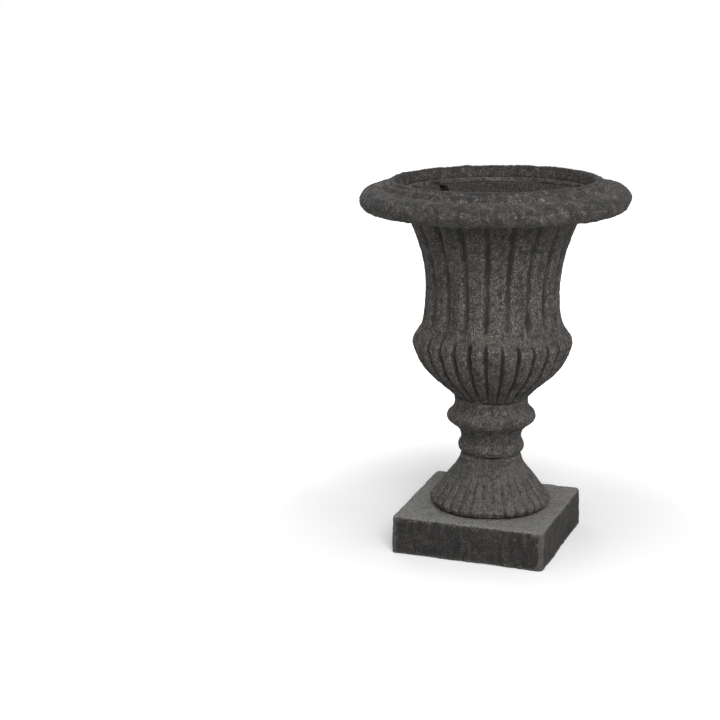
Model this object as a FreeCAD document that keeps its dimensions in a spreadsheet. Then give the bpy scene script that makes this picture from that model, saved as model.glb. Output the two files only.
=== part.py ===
import FreeCAD, Part
import math
import os
import Sketcher

# A garden urn built up from castings: a square plinth, a ribbed foot, a turned stem with a knop, a bowl
# with a fluted bell over a gadrooned belly, and a rolled rim. Mortar beds and one tie rod hold them.
# Millimetres, +Z up, the origin at the centre of the plinth's underside.

os.makedirs("parts", exist_ok=True)
doc = FreeCAD.newDocument("urn")
sizes = doc.addObject("Spreadsheet::Sheet", "Sizes")

drivingSizes = {
    # joints between castings
    "bond_gap": 3.0,            # thickness of each mortar bed
    "bed_setback": 2.2,         # how far the mortar lies back from the castings' edges
    "register_depth": 5.0,      # how far a spigot enters the casting above or below it
    "register_gap": 0.6,        # radial and end clearance round a spigot
    "spigot_shoulder": 10.4,    # ledge left round a spigot
    "spigot_wall": 9.0,         # between a spigot and the drain way inside it
    "turning_flats": 40,        # flats round each turned surface
    # plinth
    "plinth_width": 254.0,      # across the sides at the floor
    "plinth_height": 63.0,
    "plinth_draft": 1.2,        # degrees each side leans in
    "plinth_wall": 19.0,
    "plinth_deck": 20.0,        # thickness of the top
    "plinth_arris": 2.5,        # bevel of the top edge
    "plinth_foot_edge": 4.5,    # bevel of the bottom edge
    "plinth_corner_ease": 2.5,  # how much larger the upright edges' radius is than that bevel
    "weep_radius": 6.0,         # drain holes through the plinth
    "weep_circle": 55.0,        # radius of the circle they lie on
    # foot
    "foot_height": 84.0,
    "foot_radius": 99.0,        # at the toe
    "foot_toe_height": 8.0,     # of the widest place
    "foot_tuck": 4.0,           # how much the toe rolls under
    "foot_instep_radius": 73.5,
    "foot_instep_height": 42.0,
    "foot_ankle_radius": 52.0,
    "foot_ankle_drop": 12.0,    # below the foot's top
    "foot_wall": 15.0,
    "rib_depth": 2.6,
    "rib_count": 32,
    "rib_lead": 7.8,            # degrees from +X to a valley between ribs
    # stem
    "stem_base_radius": 48.3,   # where the foot and the stem meet
    "stem_bead_height": 20.0,
    "stem_bead_radius": 54.2,
    "bead_groove_radius": 50.2,
    "stem_neck_height": 30.5,
    "stem_neck_radius": 49.4,
    "neck_flare_radius": 53.4,
    "knop_thickness": 20.0,
    "knop_radius": 72.6,
    "knop_round": 6.5,          # how far the knop's edges lie inside its widest place
    "collar_height": 21.5,
    "collar_radius": 59.6,
    "collar_lip": 0.7,
    "collar_lip_height": 3.0,
    # bowl
    "bowl_wall": 14.0,
    "bowl_floor": 18.0,
    "bowl_overhang": 1.2,       # of the bowl's seat past the collar
    "keel_rise": 22.0,          # each rise is measured from the level before it
    "keel_radius": 84.0,
    "flank_rise": 28.0,
    "flank_radius": 110.6,
    "belly_rise": 38.0,
    "belly_radius": 127.2,
    "brow_rise": 16.0,
    "brow_radius": 122.6,
    "shoulder_rise": 14.0,
    "shoulder_ledge": 0.8,      # step where the bell stands on the belly
    "waist_rise": 54.0,
    "waist_radius": 108.0,
    "bell_rise": 156.0,
    "bell_sweep": 269.0,        # radius of the bell's hollow curve
    "flute_depth": 2.6,
    "flute_count": 20,
    "flute_lead": 10.8,         # degrees from +X to a groove between staves
    "flute_end": 30.0,          # bare bell left above the flutes
    "gadroon_depth": 4.4,
    "gadroon_count": 30,
    "gadroon_lead": 5.3,        # degrees from +X to a valley between lobes
    "gadroon_end": 6.0,         # how far the lobes' tops rise past the belly's widest level
    "gadroon_fade": 16.0,       # height in which they die out
    "drain_radius": 5.5,
    "drain_margin": 1.0,        # between the drain holes and the wall of the drain way
    # rim
    "lap_height": 7.0,
    "lap_width": 6.0,
    "lip_setback": 0.9,         # of the mouth inside the bell's edge
    "lip_height": 17.0,
    "lip_draw": 4.0,            # how much the mouth narrows down to the lap
    "crest_rise": 2.0,
    "crest_width": 11.0,
    "crest_step": 3.0,          # fall from the mouth's edge to the groove outside the crest
    "rim_bead_width": 9.0,
    "rim_bead_rise": 1.0,
    "rim_groove": 2.0,
    "rim_shelf_height": 5.5,    # of the roll's top above the lap
    "rim_shelf_width": 13.0,
    "rim_overhang": 57.0,       # past the bell's edge
    "rim_roll_fall": 15.7,      # from the roll's top to its widest place
    "rim_roll_width": 19.0,
    "rim_drop": 29.5,           # underside of the roll below the lap
    # tie rod and its hardware
    "rod_radius": 6.0,
    "rod_hole_gap": 0.7,
    "rod_tail": 6.0,            # thread showing past each nut
    "rod_bevel": 1.0,
    "nut_across": 18.0,
    "nut_height": 10.8,
    "nut_thread_gap": 0.05,
    "washer_radius": 15.0,
    "washer_thickness": 3.0,
    "washer_flats": 16,
}
for row, (alias, number) in enumerate(drivingSizes.items(), start=1):
    sizes.set(f"A{row}", alias)
    sizes.set(f"B{row}", str(number))
    sizes.setAlias(f"B{row}", alias)
doc.recompute()

vector = FreeCAD.Vector
upward = vector(0, 0, 1)
arcCount = 3                    # straight pieces that stand for each arc of a turned section
gadroonShoulder = 0.28          # share of a lobe's width taken by its fall into the valley
nearly = 1e-6                   # closer than this is the same place

# Levels inside the stem and the bowl, from their own seats
stemHeight = ("(Sizes.stem_bead_height + Sizes.stem_neck_height"
              " + Sizes.knop_thickness + Sizes.collar_height)")
flankLevel = "(Sizes.keel_rise + Sizes.flank_rise)"
bellyLevel = f"({flankLevel} + Sizes.belly_rise)"
browLevel = f"({bellyLevel} + Sizes.brow_rise)"
shoulderLevel = f"({browLevel} + Sizes.shoulder_rise)"
waistLevel = f"({shoulderLevel} + Sizes.waist_rise)"
bowlHeight = f"({waistLevel} + Sizes.bell_rise)"

# Levels of the seats, from the floor up
footSeat = "Sizes.plinth_height + Sizes.bond_gap"
stemSeat = f"{footSeat} + Sizes.foot_height + Sizes.bond_gap"
bowlSeat = f"{stemSeat} + {stemHeight} + Sizes.bond_gap"
lapSeat = f"{bowlSeat} + {bowlHeight}"
rimSeat = f"{lapSeat} + Sizes.lap_height"
bowlFloorTop = f"{bowlSeat} + Sizes.bowl_floor"
plinthCeiling = "Sizes.plinth_height - Sizes.plinth_deck"

# Registers: a spigot on the lower casting stands in a socket of the upper one
spigotRise = "(Sizes.bond_gap + Sizes.register_depth)"
socketDepth = "(Sizes.register_depth + Sizes.register_gap)"
spigotRadius = "(Sizes.stem_base_radius - Sizes.spigot_shoulder)"
socketRadius = f"({spigotRadius} + Sizes.register_gap)"
boreRadius = f"({spigotRadius} - Sizes.spigot_wall)"
footMouth = "(Sizes.foot_radius - Sizes.foot_tuck - Sizes.foot_wall + Sizes.rib_depth)"
rodHole = "(Sizes.rod_radius + Sizes.rod_hole_gap)"


def size(expression):
    """The number that an expression in the sheet's names stands for."""
    return float(sizes.evalExpression(expression.replace("Sizes.", "")))


def place(piece, level):
    piece.setExpression("Placement.Base.z", level)
    return piece


def between(start, end, share):
    return f"(({start}) * {1 - share:.2f} + ({end}) * {share:.2f})"


# ---- sketches and primitives -----------------------------------------------------------------------

def newBody(label):
    body = doc.addObject("PartDesign::Body", label)
    body.Label = label
    return body


def sketchOn(body, role, name, lift=None):
    """A sketch on one of the body's own origin planes, raised by `lift` along the plane's normal."""
    sketch = body.newObject("Sketcher::SketchObject", name)
    plane = next(item for item in body.Origin.OriginFeatures if item.Role == role)
    sketch.AttachmentSupport = [(plane, "")]
    sketch.MapMode = "FlatFace"
    if lift:
        sketch.setExpression("AttachmentOffset.Base.z", lift)
    return sketch


def fix(sketch, geometry, point, x, y):
    """Hold one point of a sketch at x, y, both of them expressions in the sheet's names."""
    for kind, expression in (("DistanceX", x), ("DistanceY", y)):
        index = sketch.addConstraint(
            Sketcher.Constraint(kind, -1, 1, geometry, point, size(expression)))
        sketch.setExpression(f"Constraints[{index}]", expression)


def outline(sketch, corners):
    """A closed outline. Each corner is (x, y), or (x, y, xMid, yMid) where an arc leaves it."""
    for index, corner in enumerate(corners):
        following = corners[(index + 1) % len(corners)]
        start = vector(size(corner[0]), size(corner[1]), 0)
        end = vector(size(following[0]), size(following[1]), 0)
        if len(corner) == 2:
            edge = sketch.addGeometry(Part.LineSegment(start, end), False)
            ends = (1, 2)
        else:
            middle = vector(size(corner[2]), size(corner[3]), 0)
            anticlockwise = (middle - start).cross(end - start).z > 0
            ends = (1, 2) if anticlockwise else (2, 1)
            path = (start, middle, end) if anticlockwise else (end, middle, start)
            edge = sketch.addGeometry(Part.Arc(*path), False)
            onArc = sketch.addGeometry(Part.Point(middle), True)
            fix(sketch, onArc, 1, corner[2], corner[3])
            sketch.addConstraint(Sketcher.Constraint("PointOnObject", onArc, 1, edge))
        fix(sketch, edge, ends[0], corner[0], corner[1])
        fix(sketch, edge, ends[1], following[0], following[1])


def circle(sketch, radius, x="0", y="0"):
    where = vector(size(x), size(y), 0)
    ring = sketch.addGeometry(Part.Circle(where, upward, size(radius)), False)
    if x == "0" and y == "0":
        sketch.addConstraint(Sketcher.Constraint("Coincident", ring, 3, -1, 1))
    else:
        fix(sketch, ring, 3, x, y)
    index = sketch.addConstraint(Sketcher.Constraint("Radius", ring, size(radius)))
    sketch.setExpression(f"Constraints[{index}]", radius)


def square(sketch, half):
    minus = f"-({half})"
    outline(sketch, [(half, half), (minus, half), (minus, minus), (half, minus)])


def cylinder(label, radius, height, x="0", y="0"):
    rod = doc.addObject("Part::Cylinder", label)
    rod.setExpression("Radius", radius)
    rod.setExpression("Height", height)
    rod.setExpression("Placement.Base.x", x)
    rod.setExpression("Placement.Base.y", y)
    return rod


def prism(label, radius, height, flats="Sizes.turning_flats", base="0"):
    """A regular prism whose corners lie on `radius`."""
    block = doc.addObject("Part::Prism", label)
    block.setExpression("Polygon", flats)
    block.setExpression("Circumradius", radius)
    block.setExpression("Height", height)
    return place(block, base)


def joined(label, kind, base, tool):
    result = doc.addObject(kind, label)
    result.Label = label
    result.Base = base
    result.Tool = tool
    return result


def flatRing(label, outer, inner, height, seat, flats="Sizes.turning_flats"):
    """A flat ring, such as a mortar bed or a washer."""
    ring = joined(label, "Part::Cut", prism(f"{label}_outside", outer, height, flats),
                  prism(f"{label}_hole", inner, height, flats))
    return place(ring, seat)


def casting(label, shape):
    piece = doc.addObject("Part::Feature", label)
    piece.Label = label
    piece.Shape = shape
    return piece


# ---- turned castings -------------------------------------------------------------------------------

def ringOf(radius, level, flats):
    """Corners of a regular polygon on a circle about Z."""
    turn = 2 * math.pi / flats
    return [vector(radius * math.cos(turn * index), radius * math.sin(turn * index), level)
            for index in range(flats)]


def flatFace(corners):
    return Part.Face(Part.makePolygon(corners + corners[:1]))


def band(lower, upper):
    """Flat faces between two rings of as many corners; a twisted place is split along its diagonal."""
    faces = []
    for index in range(len(lower)):
        following = (index + 1) % len(lower)
        a, b, c, d = lower[index], lower[following], upper[following], upper[index]
        twist = abs((b - a).cross(c - a).normalize().dot(d - a))
        faces += [flatFace([a, b, c, d])] if twist < nearly else [flatFace([a, b, c]), flatFace([a, c, d])]
    return faces


def sewn(faces):
    """The solid that a closed skin of faces bounds."""
    shell = Part.makeShell(faces)
    shell.sewShape()
    solid = Part.Solid(shell)
    if solid.Volume < 0:
        solid.reverse()
    return solid


def stack(rings):
    """The solid between rings of corners that rise one above another."""
    faces = [flatFace(rings[0]), flatFace(rings[-1])]
    for lower, upper in zip(rings, rings[1:]):
        faces += band(lower, upper)
    return sewn(faces)


def turned(label, corners, seat):
    """A casting turned about Z in flats from a sketch of half its section."""
    section = doc.addObject("Sketcher::SketchObject", f"{label}_section")
    outline(section, corners)
    doc.recompute()
    flats = int(size("Sizes.turning_flats"))
    rings = []
    for edge in section.Shape.Wires[0].OrderedEdges:
        straights = 1 if isinstance(edge.Curve, Part.Line) else arcCount
        run = edge.discretize(Number=straights + 1)
        if edge.Orientation == "Reversed":
            run.reverse()
        rings += [ringOf(point.x, point.y, flats) for point in run[:-1]]
    faces = []
    for lower, upper in zip(rings, rings[1:] + rings[:1]):
        faces += band(lower, upper)
    return place(casting(label, sewn(faces)), seat)


def turnedStack(points):
    """The solid inside (radius, height) points that rise without a step back, turned in flats."""
    flats = int(size("Sizes.turning_flats"))
    return stack([ringOf(radius, level, flats) for radius, level in points])


# ---- lobed castings: flutes, gadroons and ribs -----------------------------------------------------

def lobedRing(level, radius, depthShare, count, lead, lobe):
    """Corners of a ring of `count` lobes, the first valley `lead` degrees round from +X.

    `lobe` gives each corner's place across one lobe and its share of the valley's depth. The depth is
    itself a share of the radius, so that lobes of one depthShare run up the casting in flat strips.
    """
    pitch = 2 * math.pi / count
    corners = []
    for index in range(count):
        for across, sunk in lobe:
            angle = math.radians(lead) + pitch * (index + across)
            reach = radius * (1 - depthShare * sunk)
            corners.append(vector(reach * math.cos(angle), reach * math.sin(angle), level))
    return corners


def meridian(points):
    """A smooth curve up the side of a casting through (radius, height) points."""
    curve = Part.BSplineCurve()
    curve.interpolate([vector(radius, 0, height) for radius, height in points])
    return curve


def radiusAt(curve, height):
    """Radius of a rising meridian at one height."""
    low, high = curve.FirstParameter, curve.LastParameter
    for _ in range(40):
        middle = (low + high) / 2
        if curve.value(middle).z < height:
            low = middle
        else:
            high = middle
    return curve.value(low).x


def setIn(curve, wall, steps):
    """Points of a meridian moved in by `wall` along its normal."""
    points = []
    for step in range(steps + 1):
        where = curve.FirstParameter + (curve.LastParameter - curve.FirstParameter) * step / steps
        along = curve.tangent(where)[0]
        inner = curve.value(where) + vector(-along.z, 0, along.x) * wall
        points.append((inner.x, inner.z))
    return points


def swellBetween(height, low, high):
    """0 at or below `low`, 1 at or above `high`, with a smooth start and end."""
    share = min(max((height - low) / (high - low), 0), 1)
    return share * share * (3 - 2 * share)


def steps(low, high, count):
    return [low + (high - low) * step / count for step in range(count + 1)]


def bellRadius(height, wall=0.0):
    """The bell is one hollow arc: its centre lies outside the waist, and a wall makes the arc longer."""
    sweep = size("Sizes.bell_sweep")
    return size("Sizes.waist_radius") + sweep - math.sqrt(
        (sweep + wall) ** 2 - (height - size(waistLevel)) ** 2)


bellyCurve = meridian([
    (size("Sizes.collar_radius + Sizes.bowl_overhang"), 0),
    (size("Sizes.keel_radius"), size("Sizes.keel_rise")),
    (size("Sizes.flank_radius"), size(flankLevel)),
    (size("Sizes.belly_radius"), size(bellyLevel)),
    (size("Sizes.brow_radius"), size(browLevel)),
    (bellRadius(size(shoulderLevel)) + size("Sizes.shoulder_ledge"), size(shoulderLevel)),
])


def flutedBell():
    """Wide staves between narrow grooves, which fade out above the shoulder and below the rim."""
    shoulder = size(shoulderLevel)
    fluteTop = size(f"{bowlHeight} - Sizes.flute_end")
    fade = (fluteTop - shoulder) / 4
    stave = ((0, 1), (0.16, 0.15), (0.5, 0), (0.84, 0.15))
    rings = []
    for level in steps(shoulder, fluteTop, 6) + [size(bowlHeight)]:
        shown = swellBetween(level, shoulder, shoulder + fade)
        shown *= 1 - swellBetween(level, fluteTop - fade, fluteTop)
        share = shown * size("Sizes.flute_depth / Sizes.waist_radius")
        rings.append(lobedRing(level, bellRadius(level), share, int(size("Sizes.flute_count")),
                               size("Sizes.flute_lead"), stave))
    return stack(rings)


def gadroonedBelly():
    """Rounded lobes that end in a row under a smooth shoulder and narrow down to the seat."""
    lobeTop = size(f"{bellyLevel} + Sizes.gadroon_end")
    lobeFull = lobeTop - size("Sizes.gadroon_fade")
    keel = size("Sizes.keel_rise")
    flank = size(flankLevel)
    lobe = ((0, 1), (gadroonShoulder, 0.1), (1 - gadroonShoulder, 0.1))
    rings = []
    for level in [0, keel, (keel + flank) / 2, flank, lobeFull, lobeTop,
                  size(browLevel), size(shoulderLevel)]:
        share = 1 - swellBetween(level, lobeFull, lobeTop)
        share *= size("Sizes.gadroon_depth / Sizes.belly_radius")
        rings.append(lobedRing(level, radiusAt(bellyCurve, level), share, int(size("Sizes.gadroon_count")),
                               size("Sizes.gadroon_lead"), lobe))
    return stack(rings)


def bowlCavity():
    """The room for soil: it keeps the wall's thickness inside the bell and the belly."""
    wall = size("Sizes.bowl_wall")
    floor = size("Sizes.bowl_floor")
    shoulder = size(shoulderLevel)
    belly = [point for point in setIn(bellyCurve, wall, 7) if floor < point[1] < shoulder - wall / 2]
    floorRadius = belly[0][0] - (belly[0][1] - floor)
    bell = [(bellRadius(level, wall), level) for level in steps(shoulder, size(bowlHeight), 4)]
    return turnedStack([(floorRadius, floor)] + belly + bell)


footCurve = meridian([
    (size("Sizes.foot_radius - Sizes.foot_tuck"), 0),
    (size("Sizes.foot_radius"), size("Sizes.foot_toe_height")),
    (size("Sizes.foot_instep_radius"), size("Sizes.foot_instep_height")),
    (size("Sizes.foot_ankle_radius"), size("Sizes.foot_height - Sizes.foot_ankle_drop")),
    (size("Sizes.stem_base_radius"), size("Sizes.foot_height")),
])


def ribbedFoot():
    """Ribs that start below the ankle, deepen to the toe and roll under it."""
    toe = size("Sizes.foot_toe_height")
    ankle = size("Sizes.foot_height - Sizes.foot_ankle_drop")
    rib = ((0, 1), (0.3, 0.12), (0.7, 0.12))
    rings = []
    for level in [0, toe] + steps(toe * 2, ankle, 4) + [size("Sizes.foot_height")]:
        share = (1 - swellBetween(level, toe * 2, ankle)) * size("Sizes.rib_depth / Sizes.foot_radius")
        rings.append(lobedRing(level, radiusAt(footCurve, level), share, int(size("Sizes.rib_count")),
                               size("Sizes.rib_lead"), rib))
    return stack(rings)


def footHollow():
    """The foot is hollow from its base up to the drain way."""
    instep = size("Sizes.foot_instep_radius - Sizes.foot_wall")
    bore = size(boreRadius)
    roof = size("Sizes.foot_height - Sizes.foot_ankle_drop - Sizes.foot_wall / 2")
    slope = meridian([(size(footMouth), 0),
                      (instep, size("Sizes.foot_instep_height - Sizes.foot_wall / 2")), (bore, roof)])
    levels = steps(0, roof, 4)
    return turnedStack([(radiusAt(slope, level), level) for level in levels]
                       + [(bore, size("Sizes.foot_height"))])


# ---- the bowl --------------------------------------------------------------------------------------

drainCircle = f"({boreRadius} - Sizes.drain_radius - Sizes.drain_margin)"
bowlCasting = casting("bowl_casting", flutedBell().fuse(gadroonedBelly()).cut(bowlCavity()))
bowlOpenings = doc.addObject("Part::MultiFuse", "bowl_openings")
bowlOpenings.Shapes = [
    cylinder("bowl_rod_hole", rodHole, "Sizes.bowl_floor"),
    prism("bowl_socket", socketRadius, socketDepth),
] + [
    cylinder(f"bowl_drain_{turn}", "Sizes.drain_radius", "Sizes.bowl_floor",
             f"{drainCircle} * cos({turn} deg)", f"{drainCircle} * sin({turn} deg)")
    for turn in (90, 210, 330)
]
bowlShell = place(joined("bowl_shell", "Part::Cut", bowlCasting, bowlOpenings), bowlSeat)

# ---- the foot --------------------------------------------------------------------------------------

footCasting = casting("foot_casting", ribbedFoot().cut(footHollow()))
footSpigot = joined("foot_spigot", "Part::Cut",
                    prism("foot_spigot_outside", spigotRadius, spigotRise, base="Sizes.foot_height"),
                    prism("foot_spigot_bore", boreRadius, f"Sizes.foot_height + {spigotRise}"))
footShell = place(joined("foot_shell", "Part::Fuse", footCasting, footSpigot), footSeat)

# ---- the stem --------------------------------------------------------------------------------------

beadTop = "Sizes.stem_bead_height"
knopLow = f"({beadTop} + Sizes.stem_neck_height)"
knopHigh = f"({knopLow} + Sizes.knop_thickness)"
knopEdge = "(Sizes.knop_radius - Sizes.knop_round)"
collarLip = f"({stemHeight} - Sizes.collar_lip_height)"
stemTop = f"({stemHeight} + {spigotRise})"
stemKnop = turned("stem_knop", [
    (socketRadius, "0"),
    ("Sizes.stem_base_radius", "0", "Sizes.stem_bead_radius", between("0", beadTop, 0.48)),
    ("Sizes.bead_groove_radius", beadTop, "Sizes.stem_neck_radius", between(beadTop, knopLow, 0.25)),
    ("Sizes.neck_flare_radius", between(beadTop, knopLow, 0.63)),
    (knopEdge, knopLow, "Sizes.knop_radius", between(knopLow, knopHigh, 0.5)),
    (knopEdge, knopHigh, "Sizes.collar_radius + Sizes.collar_lip", between(knopHigh, stemHeight, 0.45)),
    ("Sizes.collar_radius", collarLip),
    ("Sizes.collar_radius + Sizes.collar_lip", stemHeight),
    (spigotRadius, stemHeight),
    (spigotRadius, stemTop),
    (boreRadius, stemTop),
    (boreRadius, socketDepth),
    (socketRadius, socketDepth),
], stemSeat)

# ---- the rim ---------------------------------------------------------------------------------------


def bellOutside(level):
    """The bell's outer radius at a level above the bowl's seat, as an expression."""
    return (f"(Sizes.waist_radius + Sizes.bell_sweep"
            f" - sqrt(Sizes.bell_sweep ^ 2 - ({level} - {waistLevel}) ^ 2))")


def clearOf(radius):
    """Corner radius of a socket whose flats clear a round surface by the register's gap."""
    return f"(({radius} + Sizes.register_gap) / cos(180 deg / Sizes.turning_flats))"


bellEdge = bellOutside(bowlHeight)
lapStrip = flatRing("lap_strip", bellEdge, f"{bellEdge} - Sizes.lap_width", "Sizes.lap_height", lapSeat)

mouth = f"({bellEdge} - Sizes.lip_setback)"
crestEdge = f"({mouth} + Sizes.crest_width)"
crestFoot = "(Sizes.lip_height - Sizes.crest_step)"
beadEdge = f"({crestEdge} + Sizes.rim_bead_width)"
shelfEdge = f"({beadEdge} + Sizes.rim_shelf_width)"
shelf = "Sizes.rim_shelf_height"
rollEdge = f"({bellEdge} + Sizes.rim_overhang)"
rollHeart = f"({rollEdge} - Sizes.rim_roll_width)"
rollLevel = "(Sizes.rim_shelf_height - Sizes.rim_roll_fall)"
underside = "(-Sizes.rim_drop)"
rimRing = turned("rim_ring", [
    (f"{mouth} - Sizes.lip_draw", "0"),
    (mouth, "Sizes.lip_height", between(mouth, crestEdge, 0.45), "Sizes.lip_height + Sizes.crest_rise"),
    (crestEdge, crestFoot, between(crestEdge, beadEdge, 0.55), f"{crestFoot} + Sizes.rim_bead_rise"),
    (beadEdge, f"{shelf} + Sizes.rim_groove"),
    (f"{beadEdge} + Sizes.rim_groove", shelf),
    (shelfEdge, shelf, between(shelfEdge, rollEdge, 0.67), between(shelf, rollLevel, 0.32)),
    (rollEdge, rollLevel, between(rollEdge, rollHeart, 0.28), between(rollLevel, underside, 0.74)),
    (rollHeart, underside),
    (clearOf(bellOutside(f"({bowlHeight} + Sizes.lap_height - Sizes.rim_drop)")), underside),
    (clearOf(bellEdge), "-Sizes.lap_height"),
    (clearOf(bellEdge), "0"),
], rimSeat)

# ---- the plinth ------------------------------------------------------------------------------------

plinth = newBody("plinth")
plinthPlan = sketchOn(plinth, "XY_Plane", "plinth_plan")
square(plinthPlan, "Sizes.plinth_width / 2")
block = plinth.newObject("PartDesign::Pad", "plinth_block")
block.Profile = plinthPlan
block.setExpression("Length", "Sizes.plinth_height")
block.setExpression("TaperAngle", "-Sizes.plinth_draft")
doc.recompute()


def edgesWhere(feature, test):
    """Names of a feature's edges whose lowest and highest points pass a test."""
    return [f"Edge{index}" for index, edge in enumerate(feature.Shape.Edges, start=1)
            if test(min(vertex.Z for vertex in edge.Vertexes), max(vertex.Z for vertex in edge.Vertexes))]


def eased(kind, name, feature, test, amount):
    """A fillet or a chamfer on the edges that pass a test."""
    dressing = plinth.newObject(kind, name)
    dressing.Base = (feature, edgesWhere(feature, test))
    dressing.setExpression("Radius" if kind.endswith("Fillet") else "Size", amount)
    doc.recompute()
    return dressing


plinthTop = size("Sizes.plinth_height")
corners = eased("PartDesign::Fillet", "plinth_corners", block,
                lambda low, high: high - low > plinthTop / 2,
                "Sizes.plinth_foot_edge + Sizes.plinth_corner_ease")
arris = eased("PartDesign::Chamfer", "plinth_arris", corners,
              lambda low, high: low > plinthTop - nearly, "Sizes.plinth_arris")
footEdge = eased("PartDesign::Chamfer", "plinth_foot_edge", arris,
                 lambda low, high: high < nearly, "Sizes.plinth_foot_edge")


def pocket(name, height):
    """A sketch and the pocket that it cuts upwards from the plinth's underside."""
    plan = sketchOn(plinth, "XY_Plane", f"{name}_plan")
    cut = plinth.newObject("PartDesign::Pocket", name)
    cut.Profile = plan
    cut.Reversed = True
    cut.setExpression("Length", height)
    return plan, cut


hollowPlan, hollow = pocket("plinth_hollow", plinthCeiling)
square(hollowPlan, "Sizes.plinth_width / 2 - Sizes.plinth_wall")

bossPlan = sketchOn(plinth, "XY_Plane", "plinth_boss_plan", "Sizes.plinth_height")
circle(bossPlan, f"{footMouth} - Sizes.register_gap")
boss = plinth.newObject("PartDesign::Pad", "plinth_boss")
boss.Profile = bossPlan
boss.setExpression("Length", spigotRise)

throughBoss = f"Sizes.plinth_height + {spigotRise}"
rodHolePlan, plinthRodHole = pocket("plinth_rod_hole", throughBoss)
circle(rodHolePlan, rodHole)
weepPlan, weep = pocket("plinth_weep", throughBoss)
circle(weepPlan, "Sizes.weep_radius", "0", "Sizes.weep_circle")
doc.recompute()
weeps = plinth.newObject("PartDesign::PolarPattern", "plinth_weeps")
weeps.Originals = [weep]
weeps.Axis = (weepPlan, ["N_Axis"])
weeps.Angle = 360
weeps.Occurrences = 3
plinth.Tip = weeps

# ---- mortar beds -----------------------------------------------------------------------------------

footBed = flatRing("foot_bed", "Sizes.foot_radius - Sizes.foot_tuck - Sizes.rib_depth - Sizes.bed_setback",
                   footMouth, "Sizes.bond_gap", "Sizes.plinth_height")
stemBed = flatRing("stem_bed", "Sizes.stem_base_radius - Sizes.bed_setback", socketRadius,
                   "Sizes.bond_gap", f"{footSeat} + Sizes.foot_height")
bowlBed = flatRing("bowl_bed", "Sizes.collar_radius - Sizes.bed_setback", socketRadius,
                   "Sizes.bond_gap", f"{stemSeat} + {stemHeight}")

# ---- the tie rod and its hardware ------------------------------------------------------------------

rodFoot = f"{plinthCeiling} - Sizes.washer_thickness - Sizes.nut_height - Sizes.rod_tail"
rodHead = f"{bowlFloorTop} + Sizes.washer_thickness + Sizes.nut_height + Sizes.rod_tail"
tieRod = newBody("tie_rod")
rodPlan = sketchOn(tieRod, "XY_Plane", "tie_rod_plan")
circle(rodPlan, "Sizes.rod_radius")
rodPad = tieRod.newObject("PartDesign::Pad", "tie_rod_pad")
rodPad.Profile = rodPlan
rodPad.setExpression("Length", f"{rodHead} - ({rodFoot})")
doc.recompute()
rodEnds = tieRod.newObject("PartDesign::Chamfer", "tie_rod_ends")
rodEnds.Base = (rodPad, [f"Edge{index}" for index, edge in enumerate(rodPad.Shape.Edges, start=1)
                         if isinstance(edge.Curve, Part.Circle)])
rodEnds.setExpression("Size", "Sizes.rod_bevel")
place(tieRod, rodFoot)

lowerWasher = flatRing("lower_washer", "Sizes.washer_radius", rodHole, "Sizes.washer_thickness",
                       f"{plinthCeiling} - Sizes.washer_thickness", "Sizes.washer_flats")
upperWasher = flatRing("upper_washer", "Sizes.washer_radius", rodHole, "Sizes.washer_thickness",
                       bowlFloorTop, "Sizes.washer_flats")


def nut(label, seat):
    """A hexagon nut on the rod."""
    hexagon = prism(f"{label}_hexagon", "Sizes.nut_across / 2 / cos(30 deg)", "Sizes.nut_height", "6")
    thread = cylinder(f"{label}_thread", "Sizes.rod_radius + Sizes.nut_thread_gap", "Sizes.nut_height")
    return place(joined(label, "Part::Cut", hexagon, thread), seat)


lowerNut = nut("lower_nut", f"{plinthCeiling} - Sizes.washer_thickness - Sizes.nut_height")
upperNut = nut("upper_nut", f"{bowlFloorTop} + Sizes.washer_thickness")

# ---- check and write -------------------------------------------------------------------------------

doc.recompute()
for item in doc.Objects:
    if {"Invalid", "Error"} & set(item.State):
        raise RuntimeError(f"{item.Label} failed: {item.State}")
if not plinthRodHole.Shape.Volume < boss.Shape.Volume > hollow.Shape.Volume < footEdge.Shape.Volume:
    raise RuntimeError("a pocket or the boss of the plinth points the wrong way")

pieces = [plinth, footBed, footShell, stemBed, stemKnop, bowlBed, bowlShell, lapStrip, rimRing,
          tieRod, lowerWasher, lowerNut, upperWasher, upperNut]
for piece in pieces:
    shape = piece.Shape
    if shape.isNull() or not shape.isValid() or len(shape.Solids) != 1:
        raise RuntimeError(f"{piece.Label} is not one valid solid")
for piece in pieces:
    print(f"{piece.Label}: {piece.Shape.Volume / 1000:.1f} cm3, {len(piece.Shape.Faces)} faces")
    piece.Shape.exportStep(os.path.join("parts", f"{piece.Label}.step"))
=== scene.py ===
import math

import bmesh
import bpy
import numpy as np
from mathutils import Matrix, Vector, noise


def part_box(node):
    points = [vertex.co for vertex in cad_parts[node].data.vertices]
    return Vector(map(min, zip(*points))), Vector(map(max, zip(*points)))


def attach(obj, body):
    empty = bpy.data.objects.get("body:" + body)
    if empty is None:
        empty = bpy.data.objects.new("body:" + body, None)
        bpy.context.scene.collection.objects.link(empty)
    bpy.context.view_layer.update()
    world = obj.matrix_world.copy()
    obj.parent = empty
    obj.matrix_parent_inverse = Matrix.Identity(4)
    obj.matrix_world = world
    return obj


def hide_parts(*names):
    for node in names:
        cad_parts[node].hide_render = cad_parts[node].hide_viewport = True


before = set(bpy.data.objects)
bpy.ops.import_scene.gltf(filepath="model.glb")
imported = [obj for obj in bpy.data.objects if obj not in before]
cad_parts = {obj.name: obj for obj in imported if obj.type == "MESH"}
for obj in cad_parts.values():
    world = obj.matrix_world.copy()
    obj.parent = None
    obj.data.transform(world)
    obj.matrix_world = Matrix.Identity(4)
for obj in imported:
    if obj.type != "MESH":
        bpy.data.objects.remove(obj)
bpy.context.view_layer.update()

mm = 0.001
fullTurn = 2 * math.pi


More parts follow.
